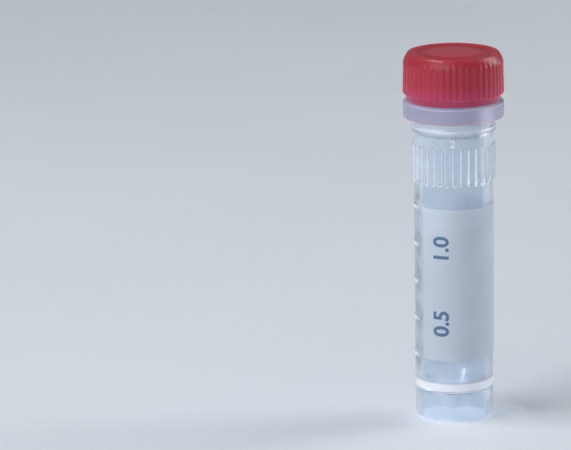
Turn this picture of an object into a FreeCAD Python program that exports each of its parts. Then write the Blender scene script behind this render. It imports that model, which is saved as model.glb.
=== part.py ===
import FreeCAD, Part
import Sketcher

import math
import os

# Self-standing cryovial with an external screw thread, all sizes in millimetres and degrees.
# The vial stands on z = 0 with its axis on Z. Its front faces -Y. The pieces are the moulded tube,
# the label round the tube, the seal ring that lies on the tube's rim and the screw cap.

# Sizes that are set by hand. Heights are measured from the base unless the note says otherwise.
SIZES = (
    # Tube: bore, walls and floor
    ("bore_diameter", 8.0),          # inside of the tube
    ("base_diameter", 9.93),         # outside of the skirt where it stands
    ("floor_diameter", 10.05),       # outside where the skirt meets the barrel
    ("barrel_diameter", 10.1),       # outside of the barrel just under the neck
    ("skirt_wall", 0.8),             # wall of the open skirt
    ("skirt_depth", 4.3),            # hollow of the skirt, at its wall
    ("floor_thickness", 1.05),       # conical floor, measured upright
    ("tip_clearance", 1.1),          # from the base up to the tip of the conical floor
    ("tip_flat_diameter", 1.6),      # flat on the tip of the cone
    ("base_round", 0.3),             # rounding of the base edge
    ("edge_bevel", 0.15),            # bevel of the other moulded edges
    ("rib_bite", 0.1),               # how deep the roots of all ribs reach into their wall
    # Tube: ribbed band under the neck
    ("band_top_height", 36.15),      # upper end of the ribs
    ("band_length", 3.95),           # full-height stretch of the ribs
    ("band_rib_count", 32),
    ("band_rib_root_width", 0.84),
    ("band_rib_crest_width", 0.42),
    ("band_rib_head", 0.12),         # the ribs end this far above the neck's underside
    ("band_rib_rise", 0.35),         # crest above the barrel
    ("band_rib_runout", 1.6),        # radius of the curve by which a rib runs down into the barrel
    # Tube: neck, bead and collar
    ("neck_diameter", 10.28),
    ("neck_length", 3.55),           # from the ribs to the collar
    ("bead_diameter", 10.9),
    ("bead_width", 1.15),
    ("bead_drop", 1.45),             # from the collar's underside down to the bead's middle
    ("collar_diameter", 12.93),
    ("collar_thickness", 2.15),
    ("collar_round", 0.45),          # rounding of the collar's upper edge
    # Tube: threaded finish above the collar
    ("finish_diameter", 9.9),        # root of the thread
    ("finish_length", 4.3),          # from the collar to the rim
    ("thread_depth", 0.45),
    ("thread_root_width", 0.8),
    ("thread_crest_width", 0.4),
    ("thread_pitch", 1.5),
    ("thread_start", 1.5),           # middle of the thread's lower end above the collar
    ("neck_thread_turns", 1.5),
    ("cap_thread_turns", 1.5),
    ("thread_clearance", 0.15),      # radial play between the two threads
    # Tube: graduation bars
    ("bar_count", 5),
    ("bar_pitch", 4.88),             # a quarter millilitre of the bore
    ("bar_first_height", 8.53),
    ("bar_width", 0.5),
    ("bar_rise", 0.14),              # crest above the barrel
    ("bar_start_angle", 168.0),      # from +X, anticlockwise seen from above
    ("bar_sweep", 40.0),
    # Label
    ("label_base_height", 8.4),
    ("label_height", 19.95),
    ("label_thickness", 0.1),
    ("label_gap", 0.01),             # adhesive between the label and the barrel
    ("label_start_angle", 217.0),    # from +X, anticlockwise seen from above
    ("label_sweep", 227.0),
    # Seal ring
    ("seal_thickness", 0.7),
    ("seal_outer_diameter", 10.2),
    ("seal_inner_diameter", 7.7),
    ("seal_play", 0.05),             # radial play of the seal ring in the cap
    # Cap
    ("cap_lift_gap", 0.05),          # between the collar and the cap when it is closed
    ("cap_ring_diameter", 12.13),    # plain ring under the grip
    ("cap_ring_length", 0.85),
    ("cap_grip_diameter", 13.01),    # over the grip ribs at their lower end
    ("cap_grip_taper", 0.095),       # how far the grip leans in between its lower end and the shoulder
    ("cap_shoulder_height", 1.6),    # rounded part above the grip
    ("cap_shoulder_radius", 2.0),
    ("cap_shoulder_inset", 0.47),    # how far the top face lies inside the shoulder
    ("cap_top_thickness", 1.15),
    ("cap_edge_round", 0.5),         # between the shoulder and the top face
    ("cap_rib_count", 48),
    ("cap_rib_root_width", 0.5),
    ("cap_rib_crest_width", 0.12),
    ("cap_rib_rise", 0.14),          # crest above the cap's side
    ("cap_rib_fade_radius", 2.2),    # radius of the curve by which a rib fades into the shoulder
    ("cap_rib_fade_height", 1.15),   # height of that curve above the grip
    ("cap_dish_diameter", 8.7),      # middle of the shallow ring dish in the top face
    ("cap_dish_width", 1.9),
    ("cap_dish_depth", 0.3),
)

# Radii (names end in _r) and levels above the base (names end in _z) that follow from the sizes.
PLACES = (
    ("bore_r", "Sizes.bore_diameter / 2"),
    ("base_r", "Sizes.base_diameter / 2"),
    ("base_z", "0"),
    ("floor_r", "Sizes.floor_diameter / 2"),
    ("barrel_r", "Sizes.barrel_diameter / 2"),
    ("skirt_inner_r", "base_r - Sizes.skirt_wall"),
    ("skirt_top_r", "floor_r - Sizes.skirt_wall"),
    ("skirt_top_z", "Sizes.skirt_depth"),
    ("tip_r", "Sizes.tip_flat_diameter / 2"),
    ("tip_z", "Sizes.tip_clearance"),
    ("floor_z", "skirt_top_z + Sizes.floor_thickness"),
    ("cavity_tip_z", "tip_z + Sizes.floor_thickness"),
    ("band_top_z", "Sizes.band_top_height"),
    ("band_foot_z", "band_top_z - Sizes.band_length"),
    ("band_head_z", "band_top_z + Sizes.band_rib_head"),
    ("band_root_half", "Sizes.band_rib_root_width / 2"),
    ("band_crest_half", "Sizes.band_rib_crest_width / 2"),
    ("band_root_r", "floor_r - Sizes.rib_bite"),
    ("band_crest_r", "barrel_r + Sizes.band_rib_rise"),
    ("band_rib_end_r", "floor_r - Sizes.rib_bite"),
    ("neck_r", "Sizes.neck_diameter / 2"),
    ("collar_foot_z", "band_top_z + Sizes.neck_length"),
    ("bead_z", "collar_foot_z - Sizes.bead_drop"),
    ("bead_low_z", "bead_z - Sizes.bead_width / 2"),
    ("bead_high_z", "bead_z + Sizes.bead_width / 2"),
    ("bead_rise", "Sizes.bead_diameter / 2 - neck_r"),
    ("bead_radius", "(Sizes.bead_width ^ 2 / 4 + bead_rise ^ 2) / (2 * bead_rise)"),
    ("collar_r", "Sizes.collar_diameter / 2"),
    ("collar_z", "collar_foot_z + Sizes.collar_thickness"),
    ("finish_r", "Sizes.finish_diameter / 2"),
    ("rim_z", "collar_z + Sizes.finish_length"),
    ("above_rim_z", "rim_z + Sizes.edge_bevel"),
    ("thread_r", "finish_r + Sizes.thread_depth"),
    ("thread_root_half", "Sizes.thread_root_width / 2"),
    ("thread_crest_half", "Sizes.thread_crest_width / 2"),
    ("neck_thread_z", "collar_z + Sizes.thread_start"),
    ("neck_thread_sunk_r", "finish_r - Sizes.thread_clearance"),
    ("neck_thread_height", "Sizes.thread_pitch * Sizes.neck_thread_turns"),
    ("neck_thread_root_low_z", "neck_thread_z - thread_root_half"),
    ("neck_thread_root_high_z", "neck_thread_z + thread_root_half"),
    ("neck_thread_crest_low_z", "neck_thread_z - thread_crest_half"),
    ("neck_thread_crest_high_z", "neck_thread_z + thread_crest_half"),
    ("bar_z", "Sizes.bar_first_height"),
    ("bar_low_z", "bar_z - Sizes.bar_width / 2"),
    ("bar_high_z", "bar_z + Sizes.bar_width / 2"),
    ("bar_root_r", "floor_r - Sizes.bar_rise"),
    ("bar_crest_r", "barrel_r + Sizes.bar_rise"),
    ("bar_crest_low_z", "bar_low_z + Sizes.bar_rise / 2"),
    ("bar_crest_high_z", "bar_high_z - Sizes.bar_rise / 2"),
    ("bar_span", "Sizes.bar_pitch * (Sizes.bar_count - 1)"),
    ("barrel_slope", "(barrel_r - floor_r) / (band_top_z - floor_z)"),
    ("label_low_z", "Sizes.label_base_height"),
    ("label_high_z", "label_low_z + Sizes.label_height"),
    ("label_low_r", "floor_r + barrel_slope * (label_low_z - floor_z) + Sizes.label_gap"),
    ("label_high_r", "floor_r + barrel_slope * (label_high_z - floor_z) + Sizes.label_gap"),
    ("label_low_outer_r", "label_low_r + Sizes.label_thickness"),
    ("label_high_outer_r", "label_high_r + Sizes.label_thickness"),
    ("seal_outer_r", "Sizes.seal_outer_diameter / 2"),
    ("seal_inner_r", "Sizes.seal_inner_diameter / 2"),
    ("ceiling_z", "rim_z + Sizes.seal_thickness"),
    ("cap_foot_z", "collar_z + Sizes.cap_lift_gap"),
    ("below_cap_z", "cap_foot_z - Sizes.edge_bevel"),
    ("cap_ring_r", "Sizes.cap_ring_diameter / 2"),
    ("grip_foot_z", "cap_foot_z + Sizes.cap_ring_length"),
    ("grip_foot_r", "Sizes.cap_grip_diameter / 2 - Sizes.cap_rib_rise"),
    ("cap_top_z", "ceiling_z + Sizes.cap_top_thickness"),
    ("shoulder_z", "cap_top_z - Sizes.cap_shoulder_height"),
    ("shoulder_r", "grip_foot_r - Sizes.cap_grip_taper"),
    ("cap_edge_r", "shoulder_r - Sizes.cap_shoulder_inset"),
    ("grip_crest_r", "Sizes.cap_grip_diameter / 2"),
    ("shoulder_crest_r", "grip_crest_r - Sizes.cap_grip_taper"),
    ("grip_root_r", "shoulder_r - Sizes.rib_bite"),
    ("grip_root_half", "Sizes.cap_rib_root_width / 2"),
    ("grip_crest_half", "Sizes.cap_rib_crest_width / 2"),
    ("cap_rib_end_z", "shoulder_z + Sizes.cap_rib_fade_height"),
    ("dish_inner_r", "Sizes.cap_dish_diameter / 2 - Sizes.cap_dish_width / 2"),
    ("dish_outer_r", "Sizes.cap_dish_diameter / 2 + Sizes.cap_dish_width / 2"),
    ("dish_radius", "(Sizes.cap_dish_width ^ 2 / 4 + Sizes.cap_dish_depth ^ 2) / (2 * Sizes.cap_dish_depth)"),
    ("cap_bore_r", "thread_r + Sizes.thread_clearance"),
    ("seal_seat_r", "seal_outer_r + Sizes.seal_play"),
    ("seal_seat_z", "rim_z - Sizes.thread_clearance"),
    ("cap_thread_r", "finish_r + Sizes.thread_clearance"),
    ("cap_thread_sunk_r", "cap_bore_r + Sizes.thread_clearance"),
    ("cap_thread_z", "neck_thread_z - Sizes.thread_pitch / 2"),
    ("cap_thread_height", "Sizes.thread_pitch * Sizes.cap_thread_turns"),
    ("cap_thread_root_low_z", "cap_thread_z - thread_root_half"),
    ("cap_thread_root_high_z", "cap_thread_z + thread_root_half"),
    ("cap_thread_crest_low_z", "cap_thread_z - thread_crest_half"),
    ("cap_thread_crest_high_z", "cap_thread_z + thread_crest_half"),
)

PLACE_NAMES = {alias for alias, _ in PLACES}
# How a sketch constraint names the sketch's origin and its two axes.
ORIGIN_POINT = (-1, 1)
HORIZONTAL_AXIS = (-1,)
VERTICAL_AXIS = (-2,)


def fill_sheets(doc):
    """Write the driving sizes and the radii and levels that follow from them."""
    sizes = doc.addObject("Spreadsheet::Sheet", "Sizes")
    for row, (alias, number) in enumerate(SIZES, start=1):
        sizes.set("A%d" % row, alias)
        sizes.set("B%d" % row, str(number))
        sizes.setAlias("B%d" % row, alias)
    places = doc.addObject("Spreadsheet::Sheet", "Places")
    for row, (alias, formula) in enumerate(PLACES, start=1):
        places.set("A%d" % row, alias)
        places.set("B%d" % row, "=" + formula)
        places.setAlias("B%d" % row, alias)
    doc.recompute()
    return sizes, places


def new_body(doc, label):
    """A body that carries its node's name."""
    body = doc.addObject("PartDesign::Body", label)
    body.Label = label
    return body


def origin_feature(body, role):
    """The plane or axis of the body's own origin with this role."""
    return next(item for item in body.Origin.OriginFeatures if item.Role == role)


def new_sketch(body, name, role="XZ_Plane", turned_by=None, raised_by=None):
    """A sketch on a plane of the body, turned about Z or raised along its normal by a named value."""
    sketch = body.newObject("Sketcher::SketchObject", name)
    sketch.AttachmentSupport = [(origin_feature(body, role), "")]
    sketch.MapMode = "FlatFace"
    if turned_by:
        sketch.AttachmentOffset = FreeCAD.Placement(FreeCAD.Vector(), FreeCAD.Rotation(0, 90, 0))
        sketch.setExpression("AttachmentOffset.Rotation.Axis.x", "0")
        sketch.setExpression("AttachmentOffset.Rotation.Axis.y", "1")
        sketch.setExpression("AttachmentOffset.Rotation.Axis.z", "0")
        sketch.setExpression("AttachmentOffset.Rotation.Angle", turned_by)
    if raised_by:
        sketch.setExpression("AttachmentOffset.Base.z", raised_by)
    return sketch


def bind(sketch, constraint, expression):
    """Add a constraint and bind its value to an expression."""
    index = sketch.addConstraint(constraint)
    sketch.setExpression("Constraints[%d]" % index, expression)


def bind_point(sketch, edge, end, across, up):
    """Fix one end of an edge at named coordinates. No name for across puts it on the vertical axis."""
    if across:
        bind(sketch, Sketcher.Constraint("DistanceX", *ORIGIN_POINT, edge, end, value(across)), named(across))
    else:
        sketch.addConstraint(Sketcher.Constraint("PointOnObject", edge, end, *VERTICAL_AXIS))
    bind(sketch, Sketcher.Constraint("DistanceY", *ORIGIN_POINT, edge, end, value(up)), named(up))


def add_arc(sketch, start, middle, end):
    """Add an arc through three points and return the numbers of its ends at start and at end."""
    anticlockwise = (middle - start).cross(end - middle).z > 0
    if anticlockwise:
        sketch.addGeometry(Part.Arc(start, middle, end), False)
        return 1, 2
    sketch.addGeometry(Part.Arc(end, middle, start), False)
    return 2, 1


def arc_middle(start, end, radius):
    """The middle of the short arc from start to end that stands out on the right of its chord."""
    chord = end - start
    side = FreeCAD.Vector(chord.y, -chord.x, 0).normalize()
    sagitta = radius - math.sqrt(radius ** 2 - (chord.Length / 2) ** 2)
    return (start + end) * 0.5 + side * sagitta


def outline(body, name, corners, arcs=None, **place):
    """A closed sketch through corners of named (radius, level); arcs gives edge number: radius."""
    arcs = arcs or {}
    sketch = new_sketch(body, name, **place)
    points = [FreeCAD.Vector(value(across) if across else 0, value(up), 0) for across, up in corners]
    count = len(points)
    ends = []
    for edge in range(count):
        start, end = points[edge], points[(edge + 1) % count]
        if edge in arcs:
            ends.append(add_arc(sketch, start, arc_middle(start, end, value(arcs[edge])), end))
        else:
            sketch.addGeometry(Part.LineSegment(start, end), False)
            ends.append((1, 2))
    for edge in range(count):
        following = (edge + 1) % count
        sketch.addConstraint(
            Sketcher.Constraint("Coincident", edge, ends[edge][1], following, ends[following][0]))
    for edge, (across, up) in enumerate(corners):
        bind_point(sketch, edge, ends[edge][0], across, up)
    for edge, radius in arcs.items():
        bind(sketch, Sketcher.Constraint("Radius", edge, value(radius)), named(radius))
    return sketch


def revolve(body, kind, name, sketch, sweep=None):
    """Turn a sketch about the upright axis, all round or by a named angle."""
    feature = body.newObject("PartDesign::" + kind, name)
    feature.Profile = sketch
    feature.ReferenceAxis = (sketch, ["V_Axis"])
    feature.Angle = 360
    if sweep:
        feature.setExpression("Angle", sweep)
    sketch.Visibility = False
    body.Document.recompute()
    return feature


def edge_names(feature, rings):
    """Names of the feature's circular edges at the given named (radius, level) pairs."""
    names = []
    for radius, level in rings:
        for number, edge in enumerate(feature.Shape.Edges, start=1):
            curve = edge.Curve
            if isinstance(curve, Part.Circle):
                same_size = abs(curve.Radius - value(radius)) < 1e-5
                same_level = abs(curve.Center.z - value(level)) < 1e-5
                if same_size and same_level:
                    names.append("Edge%d" % number)
    return names


def round_edges(body, name, rings, size):
    """Round the circular edges of the body's last feature at the given named places."""
    base = body.Tip
    fillet = body.newObject("PartDesign::Fillet", name)
    fillet.Base = (base, edge_names(base, rings))
    fillet.setExpression("Radius", size)
    body.Document.recompute()
    return fillet


def bevel_edges(body, name, rings, size):
    """Bevel the circular edges of the body's last feature at the given named places."""
    base = body.Tip
    bevel = body.newObject("PartDesign::Chamfer", name)
    bevel.Base = (base, edge_names(base, rings))
    bevel.setExpression("Size", size)
    body.Document.recompute()
    return bevel


def rib_path(body, name, foot, bend, fade_radius, end, downward):
    """The crest line of a rib: straight from foot to bend, then curved towards the axis until end.

    foot and bend are named (radius, level) pairs. end names the radius or the level, by what its name
    ends in, at which the curve stops.
    """
    sketch = new_sketch(body, name)
    start = FreeCAD.Vector(value(foot[0]), value(foot[1]), 0)
    turn = FreeCAD.Vector(value(bend[0]), value(bend[1]), 0)
    along = (turn - start).normalize()
    inward = FreeCAD.Vector(along.y, -along.x, 0) if downward else FreeCAD.Vector(-along.y, along.x, 0)
    radius = value(fade_radius)
    centre = turn + inward * radius
    ends_at_level = end.endswith("_z")
    if ends_at_level:
        rise = value(end) - centre.y
        stop = FreeCAD.Vector(centre.x + math.sqrt(radius ** 2 - rise ** 2), value(end), 0)
    else:
        reach = value(end) - centre.x
        run = math.sqrt(radius ** 2 - reach ** 2)
        stop = FreeCAD.Vector(value(end), centre.y - run if downward else centre.y + run, 0)
    halfway = centre + ((turn - centre) + (stop - centre)).normalize() * radius
    sketch.addGeometry(Part.LineSegment(start, turn), False)
    near, far = add_arc(sketch, turn, halfway, stop)
    sketch.addConstraint(Sketcher.Constraint("Tangent", 0, 2, 1, near))
    bind_point(sketch, 0, 1, *foot)
    bind_point(sketch, 0, 2, *bend)
    bind(sketch, Sketcher.Constraint("Radius", 1, radius), named(fade_radius))
    direction = "DistanceY" if ends_at_level else "DistanceX"
    bind(sketch, Sketcher.Constraint(direction, *ORIGIN_POINT, 1, far, value(end)), named(end))
    return sketch


def rib_section(body, name, level, root, crest):
    """A rib's section at a named level, between its root and its crest, each a (radius, half width)."""
    sketch = new_sketch(body, name, role="XY_Plane", raised_by=named(level))
    root_r, root_half = value(root[0]), value(root[1])
    crest_r, crest_half = value(crest[0]), value(crest[1])
    corners = [
        FreeCAD.Vector(root_r, root_half, 0),
        FreeCAD.Vector(root_r, -root_half, 0),
        FreeCAD.Vector(crest_r, -crest_half, 0),
        FreeCAD.Vector(crest_r, crest_half, 0),
    ]
    for edge in range(4):
        sketch.addGeometry(Part.LineSegment(corners[edge], corners[(edge + 1) % 4]), False)
    for edge in range(4):
        sketch.addConstraint(Sketcher.Constraint("Coincident", edge, 2, (edge + 1) % 4, 1))
    for edge in (0, 2):
        sketch.addConstraint(Sketcher.Constraint("Symmetric", edge, 1, edge, 2, *HORIZONTAL_AXIS))
    bind_point(sketch, 0, 1, *root)
    bind_point(sketch, 3, 1, *crest)
    return sketch


def rib_row(body, name, path, section, count):
    """Upright ribs all round the body: one section swept along the path, then repeated."""
    body.Document.recompute()
    rib = body.newObject("PartDesign::AdditivePipe", name)
    rib.Profile = section
    rib.Spine = path
    body.Document.recompute()
    row = body.newObject("PartDesign::PolarPattern", name + "_row")
    row.Originals = [rib]
    row.Axis = (section, ["N_Axis"])
    row.Angle = 360
    row.setExpression("Occurrences", named(count))
    body.Tip = row
    body.Document.recompute()
    return row


def screw_thread(body, name, corners, height):
    """A right-hand thread: a four-sided section wound about the upright axis."""
    section = outline(body, name + "_section", corners)
    body.Document.recompute()
    thread = body.newObject("PartDesign::AdditiveHelix", name)
    thread.Profile = section
    thread.ReferenceAxis = (section, ["V_Axis"])
    thread.Mode = 0
    thread.setExpression("Pitch", "Sizes.thread_pitch")
    thread.setExpression("Height", named(height))
    thread.Angle = 0
    thread.LeftHanded = False
    thread.Reversed = False
    body.Document.recompute()
    return thread


def named(alias):
    """The expression for a radius, level or size by its alias."""
    return ("Places." if alias in PLACE_NAMES else "Sizes.") + alias


def value(alias):
    """The number behind an alias of either sheet."""
    return float(getattr(places if alias in PLACE_NAMES else sizes, alias))


def make_tube(doc):
    """The one-piece tube: skirt, conical floor, barrel, ribbed band, neck, bead, collar and thread."""
    body = new_body(doc, "tube")
    outside = outline(body, "tube_outside", (
        (None, "tip_z"),
        ("tip_r", "tip_z"),
        ("skirt_top_r", "skirt_top_z"),
        ("skirt_inner_r", "base_z"),
        ("base_r", "base_z"),
        ("floor_r", "floor_z"),
        ("barrel_r", "band_top_z"),
        ("neck_r", "band_top_z"),
        ("neck_r", "collar_foot_z"),
        ("collar_r", "collar_foot_z"),
        ("collar_r", "collar_z"),
        ("finish_r", "collar_z"),
        ("finish_r", "rim_z"),
        (None, "rim_z"),
    ))
    revolve(body, "Revolution", "tube_solid", outside)
    round_edges(body, "base_edge", (("base_r", "base_z"),), "Sizes.base_round")
    round_edges(body, "collar_edge", (("collar_r", "collar_z"),), "Sizes.collar_round")
    bevel_edges(body, "outer_bevels", (
        ("skirt_inner_r", "base_z"),
        ("collar_r", "collar_foot_z"),
        ("finish_r", "rim_z"),
    ), "Sizes.edge_bevel")

    bead = outline(body, "bead_section", (
        ("neck_r", "bead_high_z"),
        ("finish_r", "bead_high_z"),
        ("finish_r", "bead_low_z"),
        ("neck_r", "bead_low_z"),
    ), arcs={3: "bead_radius"})
    revolve(body, "Revolution", "bead", bead)

    crest_line = rib_path(body, "band_rib_path", ("band_crest_r", "band_head_z"),
                          ("band_crest_r", "band_foot_z"), "band_rib_runout", "band_rib_end_r", downward=True)
    section = rib_section(body, "band_rib_section", "band_head_z",
                          ("band_root_r", "band_root_half"), ("band_crest_r", "band_crest_half"))
    rib_row(body, "band_rib", crest_line, section, "band_rib_count")

    bar_section = outline(body, "bar_section", (
        ("bar_root_r", "bar_low_z"),
        ("barrel_r", "bar_low_z"),
        ("bar_crest_r", "bar_crest_low_z"),
        ("bar_crest_r", "bar_crest_high_z"),
        ("barrel_r", "bar_high_z"),
        ("bar_root_r", "bar_high_z"),
    ), turned_by="Sizes.bar_start_angle")
    bar = revolve(body, "Revolution", "graduation_bar", bar_section, "Sizes.bar_sweep")
    bars = body.newObject("PartDesign::LinearPattern", "graduation_bars")
    bars.Originals = [bar]
    bars.Direction = (bar_section, ["V_Axis"])
    bars.setExpression("Length", named("bar_span"))
    bars.setExpression("Occurrences", named("bar_count"))
    body.Tip = bars
    doc.recompute()

    screw_thread(body, "neck_thread", (
        ("neck_thread_sunk_r", "neck_thread_root_low_z"),
        ("thread_r", "neck_thread_crest_low_z"),
        ("thread_r", "neck_thread_crest_high_z"),
        ("neck_thread_sunk_r", "neck_thread_root_high_z"),
    ), "neck_thread_height")

    cavity = outline(body, "cavity", (
        (None, "cavity_tip_z"),
        ("tip_r", "cavity_tip_z"),
        ("bore_r", "floor_z"),
        ("bore_r", "above_rim_z"),
        (None, "above_rim_z"),
    ))
    revolve(body, "Groove", "cavity_cut", cavity)
    bevel_edges(body, "rim_bevel", (("bore_r", "rim_z"),), "Sizes.edge_bevel")
    return body


def make_label(doc):
    """The label: a thin sleeve part of the way round the barrel, with the barrel's draft."""
    body = new_body(doc, "label")
    section = outline(body, "label_section", (
        ("label_low_r", "label_low_z"),
        ("label_low_outer_r", "label_low_z"),
        ("label_high_outer_r", "label_high_z"),
        ("label_high_r", "label_high_z"),
    ), turned_by="Sizes.label_start_angle")
    revolve(body, "Revolution", "label_wrap", section, "Sizes.label_sweep")
    return body


def make_seal(doc):
    """The seal ring between the tube's rim and the cap's ceiling."""
    body = new_body(doc, "seal_ring")
    section = outline(body, "seal_section", (
        ("seal_inner_r", "rim_z"),
        ("seal_outer_r", "rim_z"),
        ("seal_outer_r", "ceiling_z"),
        ("seal_inner_r", "ceiling_z"),
    ))
    revolve(body, "Revolution", "seal", section)
    return body


def make_cap(doc):
    """The screw cap: ribbed grip, rounded shoulder, dished top, threaded bore and seat for the seal."""
    body = new_body(doc, "screw_cap")
    outside = outline(body, "cap_outside", (
        (None, "cap_foot_z"),
        ("cap_ring_r", "cap_foot_z"),
        ("cap_ring_r", "grip_foot_z"),
        ("grip_foot_r", "grip_foot_z"),
        ("shoulder_r", "shoulder_z"),
        ("cap_edge_r", "cap_top_z"),
        (None, "cap_top_z"),
    ), arcs={4: "cap_shoulder_radius"})
    revolve(body, "Revolution", "cap_solid", outside)
    round_edges(body, "cap_edge", (("cap_edge_r", "cap_top_z"),), "Sizes.cap_edge_round")

    crest_line = rib_path(body, "grip_rib_path", ("grip_crest_r", "grip_foot_z"),
                          ("shoulder_crest_r", "shoulder_z"), "cap_rib_fade_radius", "cap_rib_end_z",
                          downward=False)
    section = rib_section(body, "grip_rib_section", "grip_foot_z",
                          ("grip_root_r", "grip_root_half"), ("grip_crest_r", "grip_crest_half"))
    rib_row(body, "grip_rib", crest_line, section, "cap_rib_count")

    dish = outline(body, "dish_section", (
        ("dish_inner_r", "cap_top_z"),
        ("dish_outer_r", "cap_top_z"),
    ), arcs={0: "dish_radius"})
    revolve(body, "Groove", "dish", dish)

    bore = outline(body, "bore_section", (
        (None, "below_cap_z"),
        ("cap_bore_r", "below_cap_z"),
        ("cap_bore_r", "seal_seat_z"),
        ("seal_seat_r", "seal_seat_z"),
        ("seal_seat_r", "ceiling_z"),
        (None, "ceiling_z"),
    ))
    revolve(body, "Groove", "bore", bore)

    screw_thread(body, "cap_thread", (
        ("cap_thread_sunk_r", "cap_thread_root_low_z"),
        ("cap_thread_sunk_r", "cap_thread_root_high_z"),
        ("cap_thread_r", "cap_thread_crest_high_z"),
        ("cap_thread_r", "cap_thread_crest_low_z"),
    ), "cap_thread_height")
    return body


def check(doc, bodies):
    """Stop if any feature failed or any piece has no valid solid."""
    for item in doc.Objects:
        if "Invalid" in item.State or "Error" in item.State:
            raise RuntimeError("%s failed: %s" % (item.Name, item.State))
    for body in bodies:
        shape = body.Shape
        if shape.isNull() or not shape.isValid() or len(shape.Solids) != 1:
            raise RuntimeError("%s has no single valid solid" % body.Label)


doc = FreeCAD.newDocument("cryovial")
sizes, places = fill_sheets(doc)
bodies = [make_tube(doc), make_label(doc), make_seal(doc), make_cap(doc)]
doc.recompute()
check(doc, bodies)
os.makedirs("parts", exist_ok=True)
for body in bodies:
    body.Shape.exportStep("parts/%s.step" % body.Label)
    print("%s: %.1f mm3" % (body.Label, body.Shape.Volume))
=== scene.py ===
"""Looks of a self-standing cryovial with a red screw cap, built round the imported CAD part.

Sizes are in millimetres unless a name or a comment says otherwise. Meshes are made in metres.
Angles are in radians round the vial's axis, and the front, where the camera is, is at 270 degrees.
"""

import math

import bmesh
import bpy
import numpy as np
from mathutils import Matrix, Vector


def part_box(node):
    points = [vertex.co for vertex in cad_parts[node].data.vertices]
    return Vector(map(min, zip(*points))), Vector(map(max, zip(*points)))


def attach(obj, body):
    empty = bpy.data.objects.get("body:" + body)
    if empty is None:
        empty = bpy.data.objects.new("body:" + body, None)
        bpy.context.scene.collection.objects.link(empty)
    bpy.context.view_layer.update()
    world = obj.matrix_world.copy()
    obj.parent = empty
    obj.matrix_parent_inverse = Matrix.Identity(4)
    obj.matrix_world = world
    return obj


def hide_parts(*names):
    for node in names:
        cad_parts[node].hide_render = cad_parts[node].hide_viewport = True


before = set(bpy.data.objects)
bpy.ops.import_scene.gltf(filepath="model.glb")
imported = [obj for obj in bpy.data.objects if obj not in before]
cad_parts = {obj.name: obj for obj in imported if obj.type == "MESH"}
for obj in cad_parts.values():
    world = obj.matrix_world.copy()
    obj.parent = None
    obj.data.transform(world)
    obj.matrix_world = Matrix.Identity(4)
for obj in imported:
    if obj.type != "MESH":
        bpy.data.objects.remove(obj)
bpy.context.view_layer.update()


MM = 0.001
FRONT = math.radians(270)

# ---------------------------------------------------------------- the CAD part's own boxes
TUBE_LOW, TUBE_HIGH = (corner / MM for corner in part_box("tube"))
CAP_LOW, CAP_HIGH = (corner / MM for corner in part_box("screw_cap"))
LABEL_LOW, LABEL_HIGH = (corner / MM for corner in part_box("label"))
CEILING_Z = (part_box("seal_ring")[1] / MM).z

# ---------------------------------------------------------------- tube: barrel, skirt and floor
BORE_R = 4.0
BASE_R = 4.965
BARREL_R = 5.05
BARREL_FOOT_Z = 0.3
SKIRT_INNER_R = 4.165
SKIRT_TOP_R, SKIRT_TOP_Z = 4.225, 4.3
FLOOR_R, FLOOR_Z = 5.025, 5.35
CONE_TIP_R, CONE_TIP_Z = 0.8, 1.1
CAVITY_TIP_Z = 2.15

# ---------------------------------------------------------------- tube: graduation bars
BAR_LEVELS = [8.53 + 4.88 * number for number in range(5)]
BAR_HALF = 0.25  # half of a bar's height at its foot
BAR_RISE = 0.14
BAR_BEVEL = 0.07
BAR_SOFT = (0.05, 0.03)  # each SOFT pair rounds a form's crest, then its foot
BAR_START, BAR_END = math.radians(168), math.radians(208)
BAR_END_TURN = 0.02  # half of the turn over which a bar's end rises

# ---------------------------------------------------------------- tube: ribbed band
BAND_TOP_Z = 36.15
BAND_HEAD_Z = 36.27
BAND_FOOT_Z = 32.2
BAND_RIBS = 32
BAND_RIB_ROOT = 0.42  # each ROOT and CREST is half of a rib's width there
BAND_RIB_CREST = 0.21
BAND_RIB_RISE = 0.35
BAND_RIB_DEPTH = 0.45  # the flanks' full height, of which RISE stands out of the wall
BAND_RIB_RUNOUT = 1.6  # radius of the arc in which a rib dies out below the band
BAND_RIB_TOE = 2.2  # how round a rib's toe is, seen from outside
BAND_RIB_SOFT = (0.12, 0.08)
BAND_RIB_HEAD = (BAND_HEAD_Z + 0.04, BAND_HEAD_Z - 0.08)

# ---------------------------------------------------------------- tube: neck, collar and finish
NECK_R = 5.14
BEAD_R, BEAD_Z = 5.45, 38.25
BEAD_HALF = 0.575
BEAD_STEPS = 12
COLLAR_R = TUBE_HIGH.x
COLLAR_FOOT_Z = 39.7
COLLAR_Z = 41.85
BEVEL_WIDTH, BEVEL_HEIGHT = 0.5, 0.25
BEVEL_Z = COLLAR_Z - BEVEL_HEIGHT
FINISH_R = 4.95
RIM_Z = TUBE_HIGH.z
RIM_JOIN_R = FINISH_R - 0.3, FINISH_R - 0.4  # where the outer and inner lines meet on the rim

# ---------------------------------------------------------------- threads
THREAD_DEPTH = 0.45
THREAD_ROOT = 0.4
THREAD_CREST = 0.2
THREAD_PITCH = 1.5
THREAD_TURNS = 1.5
THREAD_FADE_TURNS = 0.08
THREAD_SOFT = (0.1, 0.06)
NECK_THREAD_Z = 43.35
NECK_THREAD_FLOOR_Z = COLLAR_Z + 0.3
CAP_THREAD_Z = 42.6

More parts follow.
